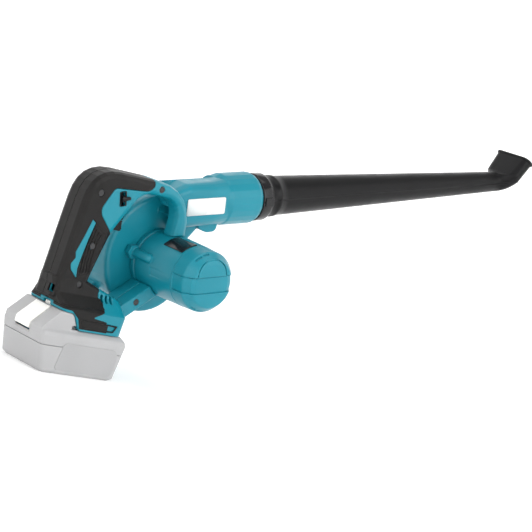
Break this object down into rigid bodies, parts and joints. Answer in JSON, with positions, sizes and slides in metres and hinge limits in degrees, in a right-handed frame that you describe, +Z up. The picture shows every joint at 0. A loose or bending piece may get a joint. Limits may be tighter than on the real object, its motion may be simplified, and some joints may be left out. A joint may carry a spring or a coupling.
{
  "type": "leaf blower",
  "caption": "Cordless leaf blower with a closed-loop handle, a side-mounted motor and fan case, a long tapered nozzle with a flat bent tip, and a slide-on battery pack.",
  "frame": {"origin": "centre of the battery pack's flat base", "axes": "+X forwards, the way the nozzle points over the ground; +Y to the left, towards the air intake; +Z up, away from the base"},
  "size_m": [0.6876, 0.1566, 0.3457],
  "materials": {
    "shell": "teal moulded plastic with a fine texture",
    "rubber": "dark soft overmould",
    "black_plastic": "black satin plastic",
    "pack": "pale grey plastic",
    "button": "off-white plastic",
    "plate": "white glossy plate with nothing on it",
    "steel": "bright steel",
    "laminations": "stacked steel",
    "copper": "bare copper",
    "carbon": "black carbon or black insulation",
    "brass": "bare brass",
    "cell": "blue wrapped cell"
  },
  "bodies": {
    "housing": {"right_housing": "shell", "left_housing": "shell", "volute_housing": "shell", "volute_cover": "shell", "motor_housing": "shell", "motor_end_cap": "shell", "grip_rubber_right": "rubber", "grip_rubber_left": "rubber", "foot_pad_right": "rubber", "foot_pad_left": "rubber", "intake_grille": "black_plastic", "motor_plate": "black_plastic", "brush_plate": "black_plastic", "switch_body": "black_plastic", "terminal_block": "black_plastic", "duct_plate": "plate", "brush_upper": "carbon", "brush_lower": "carbon", "terminal_blade_left": "brass", "terminal_blade_right": "brass", "lead_positive": "copper", "lead_negative": "carbon", "front_bearing": "steel", "rear_bearing": "steel", "motor_yoke": "steel", "housing_screw_1": "steel", "housing_screw_2": "steel", "housing_screw_3": "steel", "housing_screw_4": "steel", "housing_screw_5": "steel", "cover_screw_1": "steel", "cover_screw_2": "steel", "cover_screw_3": "steel"},
    "fan": {"motor_shaft": "steel", "armature": "laminations", "commutator": "copper", "impeller": "black_plastic", "impeller_nut": "steel"},
    "trigger": {"trigger": "black_plastic", "trigger_spring": "steel"},
    "speed_lever": {"speed_lever": "black_plastic"},
    "nozzle": {"nozzle": "black_plastic"},
    "battery": {"battery_tray": "pack", "battery_cover": "pack", "cell_1": "cell", "cell_2": "cell", "cell_3": "cell", "cell_4": "cell", "cell_5": "cell", "cell_6": "cell", "cell_7": "cell", "cell_8": "cell", "cell_9": "cell", "cell_10": "cell"},
    "battery_button": {"battery_button": "button", "button_spring": "steel"}
  },
  "joints": [
    {"name": "fan_spin", "type": "hinge", "parent": "housing", "child": "fan", "pos_m": [0.103, 0, 0.129], "axis": [0, 1, 0], "continuous": true},
    {"name": "trigger_pull", "type": "slide", "parent": "housing", "child": "trigger", "axis": [-1, 0, 0], "range_m": [0, 0.006], "stiffness_N_per_m": 900, "springref_m": -0.004, "deforming": ["trigger_spring"]},
    {"name": "speed_slide", "type": "slide", "parent": "housing", "child": "speed_lever", "axis": [-0.2924, 0, 0.9563], "range_m": [-0.004, 0.004]},
    {"name": "nozzle_twist", "type": "hinge", "parent": "housing", "child": "nozzle", "pos_m": [0.21182, 0.024, 0.21776], "axis": [0.9744, 0, 0.225], "range_deg": [0, 30]},
    {"name": "battery_slide", "type": "slide", "parent": "housing", "child": "battery", "axis": [-1, 0, 0], "range_m": [0, 0.085]},
    {"name": "battery_release", "type": "slide", "parent": "battery", "child": "battery_button", "axis": [0, 0, -1], "range_m": [0, 0.004], "stiffness_N_per_m": 1200, "springref_m": -0.003, "deforming": ["button_spring"]}
  ]
}
